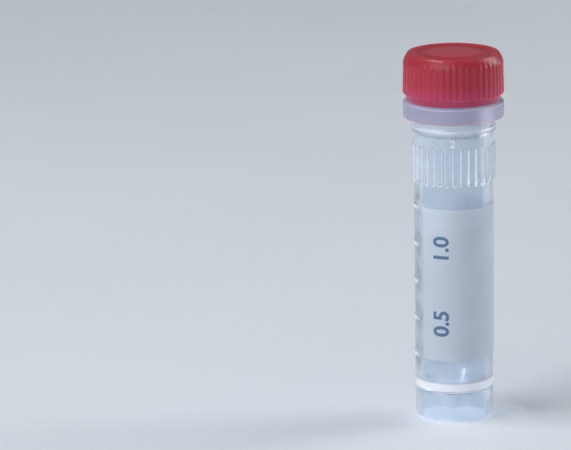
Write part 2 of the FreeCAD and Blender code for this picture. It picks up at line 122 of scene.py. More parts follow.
# ---------------------------------------------------------------- label
LABEL_START, LABEL_SWEEP = math.radians(217), math.radians(227)
LABEL_GAP = 0.01
LABEL_THICKNESS = 0.1
LABEL_TAPER = 0.01  # the barrel is this much under BARREL_R where the label is
LABEL_MID_R = BARREL_R + LABEL_GAP + LABEL_THICKNESS / 2 - LABEL_TAPER
LABEL_FACE_R = BARREL_R - LABEL_TAPER + LABEL_GAP + LABEL_THICKNESS
LABEL_COLUMNS, LABEL_ROWS = 150, 24

# ---------------------------------------------------------------- cap
CAP_FOOT_Z = CAP_LOW.z
CAP_TOP_Z = CAP_HIGH.z
CAP_RING_R = 6.065
GRIP_FOOT_R, GRIP_FOOT_Z = 6.405, 42.75
SHOULDER_R, SHOULDER_Z = 6.31, 46.4
SHOULDER_ARC = 2.0  # radius of the arc from the shoulder to the top's edge
SHOULDER_STEPS = 14
CAP_EDGE_R = 5.8
CAP_EDGE_ROUND = 0.5
DISH_INNER_R, DISH_OUTER_R, DISH_DEPTH = 3.4, 5.3, 0.3
DISH_STEPS = 24
DISH_FALL = 1.5  # above 1 the dish meets the flat on both its sides softly
CAP_BORE_R = 5.55
CAP_BORE_SLACK = 0.05  # rings this much inside the bore's radius still carry its thread
SEAL_SEAT_R, SEAL_SEAT_Z = 5.15, 46.0
CAP_FOOT_JOIN_R = CAP_BORE_R + 0.25, CAP_RING_R - 0.24  # where its lines meet on the foot

CAP_RIBS = 48
CAP_RIB_ROOT = 0.22
CAP_RIB_CREST = 0.05
CAP_RIB_RISE = 0.1
CAP_RIB_FADE = 2.4  # radius of the arc in which the ribs fade into the shoulder
CAP_RIB_SOFT = (0.05, 0.04)
# radii between which the ribs come in, on the ledge at their foot and at the top's edge
CAP_RIB_LEDGE = (CAP_RING_R + 0.12, GRIP_FOOT_R - 0.02)
CAP_RIB_EDGE = (CAP_EDGE_R - 0.02, CAP_EDGE_R + 0.12)
LEDGE_REACH_Z = SHOULDER_Z - 1  # the ledge plays no part above this level
HAIR = 0.001  # a slack for comparing levels

# ---------------------------------------------------------------- printed and moulded numbers
PRINTED = [("number_low", "0.5", 1), ("number_high", "1.0", 3)]
NUMBER_TURN = math.radians(250)
NUMBER_HEIGHT = 2.0
NUMBER_WEIGHT = 0.07
INK_THICKNESS = 0.012
MARK_TURN = FRONT - math.radians(3.5)
MARK_Z = 37.0
MARK_HEIGHT = 0.95
MARK_THICKNESS = 0.1
MARK_EDGE = 0.02
MARK_SINK = 0.02  # how deep the moulded figure's back lies in the wall
CAPITAL_SHARE = 0.7  # a figure's height as a share of the font's size
FIGURE_CUT = 0.2  # the grid that a flat figure is cut to, so that it bends with the wall
FIGURE_WELD, FIGURE_CUT_SNAP = 1e-4, 1e-5
FIGURE_CURVE_STEPS = 5

# ---------------------------------------------------------------- the clear plastic's cloudiness and painted highlights
# A haze runs from 0, clear, to 1, white. The same values also paint white highlight lines on the
# wall.
# the ribs' edges: partly cloudy, partly a painted highlight line along them
RIB_EDGE_HAZE_AND_HIGHLIGHT = 0.55
HAZE_RIB_CREST = 0.12
# painted highlight on the ribs' toes
RIB_TOE_HIGHLIGHT = 0.7
HAZE_BAR = 0.3
# painted highlight: the bars whiter towards their ends away from the label
BAR_END_HIGHLIGHT = 0.95
HAZE_CONE = 0.4
HAZE_MARK = 0.45
# distances from a rib's middle, between which its cloudy edge, partly a painted highlight line,
# comes in and goes out
RIB_EDGE_IN, RIB_EDGE_OUT = (0.17, 0.29), (0.48, 0.36)
# how far a rib or bar has to stand out for each haze and painted highlight to come in, or to go out
RIB_EDGE_RISE = (0.0, 0.06)
RIB_CREST_RISE = (0.05, 0.3)
RIB_TOE_RISE, RIB_TOE_OUT = (0.0, 0.05), (0.26, 0.12)
BAR_HAZE_RISE = (0.02, 0.1)
# lowest and highest level of the ribs' cloudy edges with their painted highlight lines, and the
# height over which they fade
RIB_EDGE_LEVELS = (BAND_FOOT_Z - 0.7, BAND_HEAD_Z - 0.1, 0.1)
# levels, angles and radii between which the toes' and bars' painted highlights and the cone's haze
# come in
RIB_TOE_LEVELS = (BAND_FOOT_Z - 0.3, BAND_FOOT_Z - 0.6)
BAR_HIGHLIGHT_TURNS = (BAR_END - 0.05, BAR_END - 0.22)
CONE_HAZE_RADII = (SKIRT_INNER_R, SKIRT_INNER_R - 0.4)
# cloudy belts and painted highlight lines of the wall: haze, lowest and highest level, and the
# height over which it fades
HAZE_AND_HIGHLIGHT_BELTS = [
    (0.16, BAND_HEAD_Z, COLLAR_FOOT_Z, 0.1),  # neck
    (0.55, BEAD_Z + 0.24, BEAD_Z + 0.3, 0.06),  # painted highlight line on the bead
    (0.36, COLLAR_FOOT_Z, BEVEL_Z, 0.06),  # collar
    (0.8, BEVEL_Z - 0.03, BEVEL_Z + 0.01, 0.05),  # painted highlight line along the collar's bevel
    (0.12, BEVEL_Z, COLLAR_Z, 0.06),  # collar's bevel
    (0.85, SKIRT_TOP_Z + 0.1, FLOOR_Z - 0.06, 0.1),  # thick belt round the floor
    (0.85, -1.0, 0.2, 0.15),  # painted highlight line on the edge that the vial stands on
]

# ---------------------------------------------------------------- mesh making
FILLET_STEPS = 5
FILLET_ROOM = 0.48  # the most of a run that one rounding takes up
LEVEL_RUN = 1e-6  # a run that rises less than this is level
CUT_DIGITS = 9  # cuts that agree to so many digits are one
SHARP_ANGLE = math.radians(50)
NORMAL_WEIGHT = 60
# columns of the mesh between a rib's middle and the valley, as shares of half a pitch
BAND_COLUMNS = (0.3, 0.43, 0.58, 0.76)
CAP_COLUMNS = (0.16, 0.32, 0.58)


# ---------------------------------------------------------------- outlines
def unit(vector):
    """The vector at length 1."""
    return vector / np.linalg.norm(vector)


def swept(centre, first, last, shares):
    """Points round a centre, from its arm first towards its arm last by each share of the way."""
    turn = math.acos(np.clip(unit(first) @ unit(last), -1, 1))
    points = []
    for share in shares:
        arm = math.sin((1 - share) * turn) * first + math.sin(share * turn) * last
        points.append(centre + arm / math.sin(turn))
    return points


def fillet(before, corner, after, radius):
    """Points that round a corner of an outline."""
    back, on = unit(before - corner), unit(after - corner)
    half = math.acos(np.clip(back @ on, -1, 1)) / 2
    cut = radius / math.tan(half)
    room = FILLET_ROOM * min(np.linalg.norm(before - corner), np.linalg.norm(after - corner))
    if cut > room:
        radius *= room / cut
        cut = room
    centre = corner + unit(back + on) * radius / math.sin(half)
    shares = [step / FILLET_STEPS for step in range(FILLET_STEPS + 1)]
    return swept(centre, corner + back * cut - centre, corner + on * cut - centre, shares)


def arc(start, end, radius, steps):
    """Corners between start and end on an arc that stands out on the right of its chord."""
    start, end = np.array(start, float), np.array(end, float)
    chord = end - start
    length = np.linalg.norm(chord)
    side = np.array([chord[1], -chord[0]]) / length
    centre = (start + end) / 2 - side * math.sqrt(radius ** 2 - (length / 2) ** 2)
    shares = [step / steps for step in range(1, steps)]
    return [tuple(point) + (0,) for point in swept(centre, start - centre, end - centre, shares)]


def outline(corners):
    """A line of (radius, level) points through corners of (radius, level, rounding)."""
    points = [np.array(corner[:2], float) for corner in corners]
    line = []
    for number, corner in enumerate(corners):
        rounding = corner[2]
        inside = 0 < number < len(corners) - 1
        if rounding and inside:
            line += fillet(points[number - 1], points[number], points[number + 1], rounding)
        else:
            line.append(points[number])
    return line


def divided(line, steps):
    """The line with each long run cut up; steps holds (low level, high level, longest step)."""
    out = [line[0]]
    for start, end in zip(line, line[1:]):
        length = np.linalg.norm(end - start)
        cuts = {0.0, 1.0}
        for low, high, longest in steps:
            rise = end[1] - start[1]
            if abs(rise) < LEVEL_RUN:
                continue
            near, far = sorted(((low - start[1]) / rise, (high - start[1]) / rise))
            near, far = max(near, 0.0), min(far, 1.0)
            if far > near:
                count = max(1, math.ceil((far - near) * length / longest))
                span = far - near
                cuts |= {round(near + span * n / count, CUT_DIGITS) for n in range(count + 1)}
        for share in sorted(cuts)[1:]:
            out.append(start + (end - start) * share)
    return np.array(out)


# ---------------------------------------------------------------- soft forms
def smooth_min(first, second, width):
    """The smaller of two heights, with the crossing rounded over width."""
    mix = np.clip(0.5 + 0.5 * (second - first) / width, 0, 1)
    return second * (1 - mix) + first * mix - width * mix * (1 - mix)


def smooth_max(first, second, width):
    """The larger of two heights, with the crossing rounded over width."""
    return -smooth_min(-first, -second, width)


def smooth_step(low, high, number):
    """0 at low and 1 at high, with an even start and end. low may be above high."""
    share = np.clip((number - low) / (high - low), 0, 1)
    return share * share * (3 - 2 * share)


def level_peak(level, low, high, soft):
    """1 between two levels, fading to 0 over soft."""
    return smooth_step(low - soft, low, level) * smooth_step(high + soft, high, level)


def raised(flank, top, soft):
    """A form on a wall: flanks up to a top, with crest and foot rounded by soft's two widths."""
    return smooth_max(smooth_min(flank, top, soft[0]), 0, soft[1])


def flanks(away, root, crest, depth):
    """The height of a rib's flanks at a distance from its middle, 0 at root and depth at crest."""
    return (root - away) / (root - crest) * depth


# ---------------------------------------------------------------- meshes
def link(piece):
    """Puts an object in the scene and gives it back."""
    bpy.context.scene.collection.objects.link(piece)
    return piece


def mesh_object(name, vertices, faces, haze_and_highlights=None):
    """A smooth mesh. haze gives each vertex a cloudiness, on some lines a painted highlight, that
    the plastic's material reads.
    """
    mesh = bpy.data.meshes.new(name)
    mesh.from_pydata([tuple(vertex) for vertex in vertices], [], faces)
    mesh.shade_smooth()
    mesh.set_sharp_from_angle(angle=SHARP_ANGLE)
    if haze_and_highlights is not None:
        values = mesh.attributes.new("haze_and_highlights", "FLOAT", "POINT").data
        values.foreach_set("value", haze_and_highlights.astype(np.float32))
    piece = link(bpy.data.objects.new(name, mesh))
    weighted = piece.modifiers.new("even_normals", "WEIGHTED_NORMAL")
    weighted.weight = NORMAL_WEIGHT
    weighted.keep_sharp = True
    return piece


def columns(ribs, shares):
    """Angles of a mesh's columns: for each rib its middle, shares of half a pitch, its valley."""
    pitch = 2 * math.pi / ribs
    offsets = [0.0] + [share * pitch / 2 for share in shares] + [pitch / 2]
    offsets += [pitch - share * pitch / 2 for share in reversed(shares)]
    return np.array([rib * pitch + offset for rib in range(ribs) for offset in offsets])


def lathe(name, line, angles, shift):
    """A closed body of revolution whose line starts and ends on the axis.

    shift gives each point's extra radius and its haze, which also carries painted highlight lines.
    """
    radii, levels = line[1:-1, 0], line[1:-1, 1]
    rings, count = len(radii), len(angles)
    turn, level = np.meshgrid(angles, levels)
    base = np.repeat(radii[:, None], count, axis=1)
    rise, haze_and_highlights = shift(turn, level, base)
    radius = base + rise
    grid = np.stack([radius * np.cos(turn), radius * np.sin(turn), level], axis=-1).reshape(-1, 3)
    vertices = np.vstack([grid, [[0, 0, line[0, 1]], [0, 0, line[-1, 1]]]]) * MM
    first_pole, last_pole = rings * count, rings * count + 1
    faces = []
    for column in range(count):
        beside = (column + 1) % count
        faces.append((first_pole, beside, column))
        for ring in range(rings - 1):
            low, high = ring * count, (ring + 1) * count
            faces.append((low + column, low + beside, high + beside, high + column))
        top = (rings - 1) * count
        faces.append((top + column, top + beside, last_pole))
    poles = [haze_and_highlights[0].mean(), haze_and_highlights[-1].mean()]
    return mesh_object(name, vertices, faces, np.concatenate([haze_and_highlights.reshape(-1), poles]))


def rib_offset(turn, ribs, radius):
    """Distance along the wall from the middle of the nearest rib."""
    pitch = 2 * math.pi / ribs
    return np.abs((turn + pitch / 2) % pitch - pitch / 2) * radius


def thread_height(turn, level, first_level):
    """How far a right-handed thread stands out at each angle and level."""
    height = np.zeros_like(turn)
    for winding in range(math.ceil(THREAD_TURNS)):
        along = turn / (2 * math.pi) + winding
        away = np.abs(level - first_level - THREAD_PITCH * along)
        flank = flanks(away, THREAD_ROOT, THREAD_CREST, THREAD_DEPTH)
        ends = smooth_step(0, THREAD_FADE_TURNS, along)
        ends = ends * smooth_step(0, THREAD_FADE_TURNS, THREAD_TURNS - along)
        height = np.maximum(height, raised(flank, THREAD_DEPTH, THREAD_SOFT) * ends)
    return height


# ---------------------------------------------------------------- the tube
def tube_haze_and_highlights(turn, level, base, away, ribs, bars):
    """Where the moulding is thick or its edges are dulled, the clear plastic looks cloudy. The same
    values paint highlight lines on the ribs' edges and toes, the bars' ends, the bead, the collar's
    bevel and the edge that the vial stands on.

    away is the distance from the nearest rib's middle. ribs and bars are how far those stand out.
    """
    # the ribs' edges: partly cloudy, partly a painted highlight line
    edge = smooth_step(*RIB_EDGE_IN, away) * smooth_step(*RIB_EDGE_OUT, away)
    in_band = level_peak(level, *RIB_EDGE_LEVELS)
    edges = RIB_EDGE_HAZE_AND_HIGHLIGHT * edge * in_band * smooth_step(*RIB_EDGE_RISE, ribs)
    crests = HAZE_RIB_CREST * smooth_step(*RIB_CREST_RISE, ribs)
    # painted highlight on the ribs' toes
    toe_highlights = RIB_TOE_HIGHLIGHT * smooth_step(*RIB_TOE_RISE, ribs) * smooth_step(*RIB_TOE_OUT, ribs)
    toe_highlights = toe_highlights * smooth_step(*RIB_TOE_LEVELS, level)
    # painted highlight: the bars whiter towards their ends away from the label
    tip_highlight = smooth_step(*BAR_HIGHLIGHT_TURNS, turn)
    bars_and_highlights = (HAZE_BAR + (BAR_END_HIGHLIGHT - HAZE_BAR) * tip_highlight) * smooth_step(*BAR_HAZE_RISE, bars)
    cone = HAZE_CONE * smooth_step(*CONE_HAZE_RADII, base)
    haze_and_highlights = np.maximum.reduce([edges, crests, toe_highlights, bars_and_highlights, cone])
    for strength, low, high, soft in HAZE_AND_HIGHLIGHT_BELTS:
        haze_and_highlights = np.maximum(haze_and_highlights, strength * level_peak(level, low, high, soft))
    return haze_and_highlights


def band_ribs(level, base, away):
    """How far the band's ribs stand out of the wall. Their toes run out in an arc."""
    flank = flanks(away, BAND_RIB_ROOT, BAND_RIB_CREST, BAND_RIB_DEPTH)
    flank -= BAND_RIB_DEPTH - BAND_RIB_RISE
    below = np.clip(BAND_FOOT_Z - level + BAND_RIB_TOE * away ** 2, 0, BAND_RIB_RUNOUT)
    runout = BAND_RIB_RISE - BAND_RIB_RUNOUT + np.sqrt(BAND_RIB_RUNOUT ** 2 - below ** 2)
    ribs = raised(flank, runout, BAND_RIB_SOFT)
    ribs = np.maximum(ribs - np.maximum(base - BARREL_R, 0), 0)
    return ribs * smooth_step(*BAND_RIB_HEAD, level)


def graduation_bars(turn, level):
    """How far the graduation bars stand out of the wall."""
    bars = np.zeros_like(turn)
    for bar in BAR_LEVELS:
        face = (BAR_HALF - np.abs(level - bar)) / BAR_BEVEL * BAR_RISE
        bars = np.maximum(bars, raised(face, BAR_RISE, BAR_SOFT))
    ends = smooth_step(BAR_START - BAR_END_TURN, BAR_START + BAR_END_TURN, turn)
    ends *= smooth_step(BAR_END + BAR_END_TURN, BAR_END - BAR_END_TURN, turn)
    return bars * ends


def tube_shift(outside):
    """The ribs, bars and thread on the tube's outer wall. outside tells which rings lie on it."""
    def shift(turn, level, base):
        away = rib_offset(turn, BAND_RIBS, BARREL_R)
        ribs = band_ribs(level, base, away)
        bars = graduation_bars(turn, level)
        thread = thread_height(turn, level, NECK_THREAD_Z)
        thread *= (level > NECK_THREAD_FLOOR_Z)
        haze_and_highlights = tube_haze_and_highlights(turn, level, base, away, ribs, bars)
        return (ribs + bars + thread) * outside[:, None], haze_and_highlights * outside[:, None]
    return shift


def make_tube():
    """The moulded tube, from the tip of its cone's underside out, up and back down its bore."""
    bead_rise = BEAD_R - NECK_R
    bead_arc = (BEAD_HALF ** 2 + bead_rise ** 2) / (2 * bead_rise)
    bead_foot, bead_head = (NECK_R, BEAD_Z - BEAD_HALF), (NECK_R, BEAD_Z + BEAD_HALF)
    outer = outline([  # radius, level, rounding
        (0, CONE_TIP_Z, 0),
        (CONE_TIP_R, CONE_TIP_Z, 0.3),
        (SKIRT_TOP_R, SKIRT_TOP_Z, 0.3),
        (SKIRT_INNER_R, TUBE_LOW.z, 0.15),
        (BASE_R, TUBE_LOW.z, 0.3),
        (FLOOR_R, FLOOR_Z, 0),
        (BARREL_R, BAND_TOP_Z, 0.06),
        (NECK_R, BAND_TOP_Z, 0.06),
        (*bead_foot, 0.1),
        *arc(bead_foot, bead_head, bead_arc, BEAD_STEPS),
        (*bead_head, 0.1),
        (NECK_R, COLLAR_FOOT_Z, 0.12),
        (COLLAR_R, COLLAR_FOOT_Z, 0.2),
        (COLLAR_R, BEVEL_Z, 0.12),
        (COLLAR_R - BEVEL_WIDTH, COLLAR_Z, 0.2),
        (FINISH_R, COLLAR_Z, 0.12),
        (FINISH_R, RIM_Z, 0.18),
        (RIM_JOIN_R[0], RIM_Z, 0),
    ])
    inner = outline([  # radius, level, rounding
        (RIM_JOIN_R[1], RIM_Z, 0),
        (BORE_R, RIM_Z, 0.15),
        (BORE_R, FLOOR_Z, 0.8),
        (CONE_TIP_R, CAVITY_TIP_Z, 0.5),
        (0, CAVITY_TIP_Z, 0),
    ])
    steps = [  # lowest level, highest level, longest step
        (BARREL_FOOT_Z, BARREL_FOOT_Z + 0.3, 0.15),
        (SKIRT_TOP_Z - 0.3, FLOOR_Z + 0.2, 0.13),
        *((bar - 0.3, bar + 0.3, 0.1) for bar in BAR_LEVELS),
        (BAND_FOOT_Z - 1.25, BAND_FOOT_Z - 0.5, 0.07),
        (BAND_FOOT_Z - 0.5, BAND_FOOT_Z, 0.12),
        (BAND_FOOT_Z, BAND_TOP_Z, 1.6),
        (BAND_HEAD_Z - 0.12, BAND_HEAD_Z + 0.08, 0.05),
        (COLLAR_FOOT_Z - 0.1, COLLAR_FOOT_Z, 0.06),
        (BEVEL_Z - 0.12, BEVEL_Z, 0.04),
        (NECK_THREAD_FLOOR_Z, RIM_Z, 0.13),
    ]
    outer_line = divided(outer, steps)
    inner_line = divided(inner, [(FLOOR_Z, RIM_Z, 4.0)])
    outside = np.array([1.0] * len(outer_line) + [0.0] * len(inner_line))[1:-1]
    angles = columns(BAND_RIBS, BAND_COLUMNS)
    return lathe("tube_body", np.vstack([outer_line, inner_line]), angles, tube_shift(outside))


# ---------------------------------------------------------------- the cap
def grip_ribs(turn, level, base):
    """How far the grip ribs stand out of the cap. They fade into its shoulder."""
    away = rib_offset(turn, CAP_RIBS, GRIP_FOOT_R)
    flank = flanks(away, CAP_RIB_ROOT, CAP_RIB_CREST, CAP_RIB_RISE)
    over = np.clip(level - SHOULDER_Z, 0, CAP_RIB_FADE)
    crest = SHOULDER_R + CAP_RIB_RISE - CAP_RIB_FADE + np.sqrt(CAP_RIB_FADE ** 2 - over ** 2)
    fade = np.where(level > SHOULDER_Z, crest - base, CAP_RIB_RISE)
    ribs = raised(flank, fade, CAP_RIB_SOFT)
    ribs *= smooth_step(*CAP_RIB_LEDGE, base) + (level > LEDGE_REACH_Z)
    ribs = np.where(level < GRIP_FOOT_Z - HAIR, 0, np.minimum(ribs, CAP_RIB_RISE))
    return ribs * smooth_step(*CAP_RIB_EDGE, base)


def cap_shift(outside):
    """The grip ribs outside the cap and the thread inside it. outside tells which ring is which."""
    def shift(turn, level, base):
        ribs = grip_ribs(turn, level, base)
        thread = thread_height(turn, level, CAP_THREAD_Z) * (base > CAP_BORE_R - CAP_BORE_SLACK)
        rise = ribs * outside[:, None] - thread * (1 - outside[:, None])
        return rise, np.zeros_like(turn)
    return shift


def make_cap():
    """The screw cap, from its ceiling out, down its bore, and up its outside to its dished top."""
    dish = []
    for step in range(1, DISH_STEPS):
        share = step / DISH_STEPS
        radius = DISH_OUTER_R + (DISH_INNER_R - DISH_OUTER_R) * share
        fall = DISH_DEPTH * math.sin(math.pi * share) ** DISH_FALL
        dish.append((radius, CAP_TOP_Z - fall, 0))
    inner = outline([  # radius, level, rounding
        (0, CEILING_Z, 0),
        (SEAL_SEAT_R, CEILING_Z, 0.1),
        (SEAL_SEAT_R, SEAL_SEAT_Z, 0.08),
        (CAP_BORE_R, SEAL_SEAT_Z, 0.15),
        (CAP_BORE_R, CAP_FOOT_Z, 0.15),
        (CAP_FOOT_JOIN_R[0], CAP_FOOT_Z, 0),
    ])
    outer = outline([  # radius, level, rounding
        (CAP_FOOT_JOIN_R[1], CAP_FOOT_Z, 0),
        (CAP_RING_R, CAP_FOOT_Z, 0.15),
        (CAP_RING_R, GRIP_FOOT_Z, 0.1),
        (GRIP_FOOT_R, GRIP_FOOT_Z, 0.16),
        (SHOULDER_R, SHOULDER_Z, 0),
        *arc((SHOULDER_R, SHOULDER_Z), (CAP_EDGE_R, CAP_TOP_Z), SHOULDER_ARC, SHOULDER_STEPS),
        (CAP_EDGE_R, CAP_TOP_Z, CAP_EDGE_ROUND),
        (DISH_OUTER_R, CAP_TOP_Z, 0),
        *dish,
        (DISH_INNER_R, CAP_TOP_Z, 0),
        (0, CAP_TOP_Z, 0),
    ])
    inner_line = divided(inner, [(CAP_FOOT_Z, SEAL_SEAT_Z, 0.12)])
    outer_line = divided(outer, [(GRIP_FOOT_Z, SHOULDER_Z, 1.2)])
    outside = np.array([0.0] * len(inner_line) + [1.0] * len(outer_line))[1:-1]
    angles = columns(CAP_RIBS, CAP_COLUMNS)
    return lathe("cap_body", np.vstack([inner_line, outer_line]), angles, cap_shift(outside))


# ---------------------------------------------------------------- the label
def make_label():
    """The label film: a thin sleeve part of the way round the barrel."""
    turns = np.linspace(LABEL_START, LABEL_START + LABEL_SWEEP, LABEL_COLUMNS + 1)
    levels = np.linspace(LABEL_LOW.z, LABEL_HIGH.z, LABEL_ROWS + 1)
    slope = (BARREL_R - FLOOR_R) / (BAND_TOP_Z - FLOOR_Z)
    wall = FLOOR_R + slope * (levels - FLOOR_Z) + LABEL_GAP
    turn, level = np.meshgrid(turns, levels)
    wide = LABEL_COLUMNS + 1
    sheets = []
    for radius in (wall + LABEL_THICKNESS, wall):
        reach = np.repeat(radius[:, None], wide, axis=1)
        sheet = np.stack([reach * np.cos(turn), reach * np.sin(turn), level], axis=-1)
        sheets.append(sheet.reshape(-1, 3))
    vertices = np.vstack(sheets) * MM
    back = wide * (LABEL_ROWS + 1)
    faces = []
    for row in range(LABEL_ROWS):
        for column in range(LABEL_COLUMNS):
            low = row * wide + column
            high = low + wide
            faces.append((low, low + 1, high + 1, high))
            faces.append((back + high, back + high + 1, back + low + 1, back + low))
    for low in range(LABEL_COLUMNS):
        top = LABEL_ROWS * wide + low
        faces.append((back + low, back + low + 1, low + 1, low))
        faces.append((top, top + 1, back + top + 1, back + top))
    for row in range(LABEL_ROWS):
        left, right = row * wide, row * wide + LABEL_COLUMNS
        faces.append((left, left + wide, back + left + wide, back + left))
        faces.append((right + wide, right, back + right, back + right + wide))
    return mesh_object("label_film", vertices, faces)


# ---------------------------------------------------------------- numbers
def flat_figures(name, text, height, thickness, edge, weight):
    """Figures that lie flat on the ground plane, as a mesh."""
    curve = bpy.data.curves.new(name + "_line", "FONT")
    curve.body = text
    curve.align_x = "CENTER"
    curve.align_y = "CENTER"
    curve.size = height / CAPITAL_SHARE
    curve.offset = weight
    curve.extrude = thickness / 2
    curve.bevel_depth = edge
    curve.bevel_resolution = 1
    curve.resolution_u = FIGURE_CURVE_STEPS
    flat = link(bpy.data.objects.new(name + "_flat", curve))
    bpy.context.view_layer.update()
    shown = flat.evaluated_get(bpy.context.evaluated_depsgraph_get())
    mesh = bpy.data.meshes.new_from_object(shown)
    bpy.data.objects.remove(flat)
    return mesh


def numeral(name, text, height, thickness, place, edge=0.0, weight=0.0):
    """Figures wrapped on a wall. place turns flat (x, y, out) in mm into a point in mm."""
    mesh = flat_figures(name, text, height, thickness, edge, weight)
    shape = bmesh.new()
    shape.from_mesh(mesh)
    bmesh.ops.remove_doubles(shape, verts=shape.verts, dist=FIGURE_WELD)
    for axis in (0, 1):
        reach = max(abs(vertex.co[axis]) for vertex in shape.verts)
        for step in range(-int(reach / FIGURE_CUT), int(reach / FIGURE_CUT) + 1):
            where, normal = [0.0, 0.0, 0.0], [0.0, 0.0, 0.0]
            where[axis], normal[axis] = step * FIGURE_CUT, 1.0
            everything = shape.verts[:] + shape.edges[:] + shape.faces[:]
            bmesh.ops.bisect_plane(
                shape, geom=everything, plane_co=where, plane_no=normal, dist=FIGURE_CUT_SNAP)
    for vertex in shape.verts:
        vertex.co = Vector(place(vertex.co.x, vertex.co.y, vertex.co.z + thickness / 2)) * MM
    bmesh.ops.recalc_face_normals(shape, faces=shape.faces)
    shape.to_mesh(mesh)
    shape.free()
    mesh.name = name
    return link(bpy.data.objects.new(name, mesh))


def round_wall(radius, turn, level, upright):
    """Where flat text goes on a wall: upright text reads round it, other text reads up it."""
    def place(x, y, out):
        along, up = (x, y) if upright else (-y, x)
        angle = turn + along / radius
        reach = radius + out
        return reach * math.cos(angle), reach * math.sin(angle), level + up
    return place


# ---------------------------------------------------------------- materials
NOISE_LOW, NOISE_HIGH = 0.3, 0.7  # nearly all of a noise lies between these


class Nodes:
    """Short names for building one material's nodes."""

    def __init__(self, name):
        self.material = bpy.data.materials.new(name)
        self.material.use_nodes = True
        self.tree = self.material.node_tree
        self.tree.nodes.clear()
        self.output = self.tree.nodes.new("ShaderNodeOutputMaterial")
        self.where = self.tree.nodes.new("ShaderNodeTexCoord").outputs["Object"]

    def node(self, kind, **settings):
        """A new node of a kind, with its settings."""
        made = self.tree.nodes.new("ShaderNode" + kind)
        for key, setting in settings.items():
            setattr(made, key, setting)
        return made

    def feed(self, socket, source):
        """Links a socket to another node's output, or sets it to a value."""
        if hasattr(source, "is_output"):
            self.tree.links.new(source, socket)
        else:
            socket.default_value = source

    def math(self, operation, first, second=0.0):
        """A sum, product or the like of one or two numbers."""
        made = self.node("Math", operation=operation)
        self.feed(made.inputs[0], first)
        self.feed(made.inputs[1], second)
        return made.outputs[0]

    def ramp(self, source, low, high, to_low=0.0, to_high=1.0):
        """A number that goes smoothly from to_low at low to to_high at high."""
        made = self.node("MapRange", interpolation_type="SMOOTHSTEP")
        for name, number in (("Value", source), ("From Min", low), ("From Max", high),
                             ("To Min", to_low), ("To Max", to_high)):
            self.feed(made.inputs[name], number)
        return made.outputs["Result"]

    def wall_ramp(self, source, low, high):
        """A ramp over a level or radius, whose ends are in mm."""
        return self.ramp(source, low * MM, high * MM)

    def belt(self, level, low, high, soft):
        """1 between two levels in mm, fading to 0 over soft."""
        up = self.wall_ramp(level, low - soft, low + soft)
        down = self.wall_ramp(level, high + soft, high - soft)
        return self.math("MULTIPLY", up, down)

    def vary(self, noise, low=0.0, high=1.0):
        """A noise stretched to fill the range from low to high."""
        return self.ramp(noise, NOISE_LOW, NOISE_HIGH, low, high)

    def mix(self, share, first, second):
        """A colour between two colours."""
        made = self.node("Mix", data_type="RGBA")
        self.feed(made.inputs["Factor"], share)
        self.feed(made.inputs[6], first)
        self.feed(made.inputs[7], second)
        return made.outputs[2]

    def layer(self, tone, mask, share, over):
        """A colour with another laid over it by a share of a mask."""
        return self.mix(self.math("MULTIPLY", mask, share), tone, over)

    def noise(self, per_mm, detail=3.0, roughness=0.5, stretch=(1, 1, 1)):
        """Noise of about that many features a millimetre."""
        mapping = self.node("Mapping")
        self.feed(mapping.inputs["Vector"], self.where)
        mapping.inputs["Scale"].default_value = [side * per_mm / MM for side in stretch]
        made = self.node("TexNoise")
        self.feed(made.inputs["Vector"], mapping.outputs["Vector"])
        made.inputs["Scale"].default_value = 1.0
        made.inputs["Detail"].default_value = detail
        made.inputs["Roughness"].default_value = roughness
        return made.outputs["Fac"]

    def bump(self, height, depth_mm, strength):
        """A surface normal that follows a fine relief."""
        made = self.node("Bump")
        made.inputs["Strength"].default_value = strength
        made.inputs["Distance"].default_value = depth_mm * MM
        self.feed(made.inputs["Height"], height)
        return made.outputs["Normal"]

    def sides(self):
        """The place on the object as X, Y and Z."""
        made = self.node("SeparateXYZ")
        self.feed(made.inputs[0], self.where)
        return made.outputs

    def radius(self, sides):
        """Distance from the vial's axis."""
        squares = [self.math("MULTIPLY", side, side) for side in sides[:2]]
        return self.math("SQRT", self.math("ADD", *squares))

    def shader(self, **sockets):
        """A principled shader with some of its sockets set."""
        made = self.node("BsdfPrincipled")
        for name, source in sockets.items():
            self.feed(made.inputs[name.replace("_", " ")], source)
        return made

    def blend(self, share, first, second):
        """A shader between two shaders."""
        made = self.node("MixShader")
        self.feed(made.inputs[0], share)
        self.feed(made.inputs[1], first.outputs[0])
        self.feed(made.inputs[2], second.outputs[0])
        return made

    def finish(self, shader):
        """Gives the material its shader, and gives the material back."""
        self.feed(self.output.inputs["Surface"], shader.outputs[0])
        return self.material


# ---------------------------------------------------------------- natural plastic
CLEAR_TONE, CLOUDY_AND_HIGHLIGHT_TONE = (0.73, 0.795, 0.875, 1), (0.82, 0.85, 0.90, 1)
CLOUDY_HAZE = 0.6  # the haze at which the plastic has its cloudy tone, which also colours its painted highlights
# the collar's darker lilac: partly its own tone, partly painted light from the red cap and the blue
# surroundings
COLLAR_TONE_AND_CAST_LIGHT = (0.49, 0.49, 0.655, 1)
COLLAR_BELT = (COLLAR_FOOT_Z, COLLAR_Z + 0.2, 0.1)
LIP_CAP_LIGHT_TONE = (0.82, 0.42, 0.50, 1)  # painted light: the cap's red, caught in the collar's lower edge
LIP_BELT = (COLLAR_FOOT_Z - 0.05, COLLAR_FOOT_Z + 0.2, 0.08)
LIP_CAP_LIGHT_SHARE = 0.8
SHADOW_TONE = (0.80, 0.82, 0.85, 1)
VEIL_PER_MM, VEIL = 0.35, (0.12, 0.18)
CLEAR_ROUGH_PER_MM, CLEAR_ROUGH = 1.2, (0.13, 0.19)
FINISH_LEVELS = (COLLAR_FOOT_Z - 0.1, COLLAR_FOOT_Z + 0.1)
FINISH_ROUGHER = 0.28  # the collar and the finish above it are duller by this
CLEAR_GRAIN_PER_MM, CLEAR_GRAIN_DEPTH, CLEAR_GRAIN_STRENGTH = 6.0, 0.004, 0.12
PLASTIC_IOR = 1.49


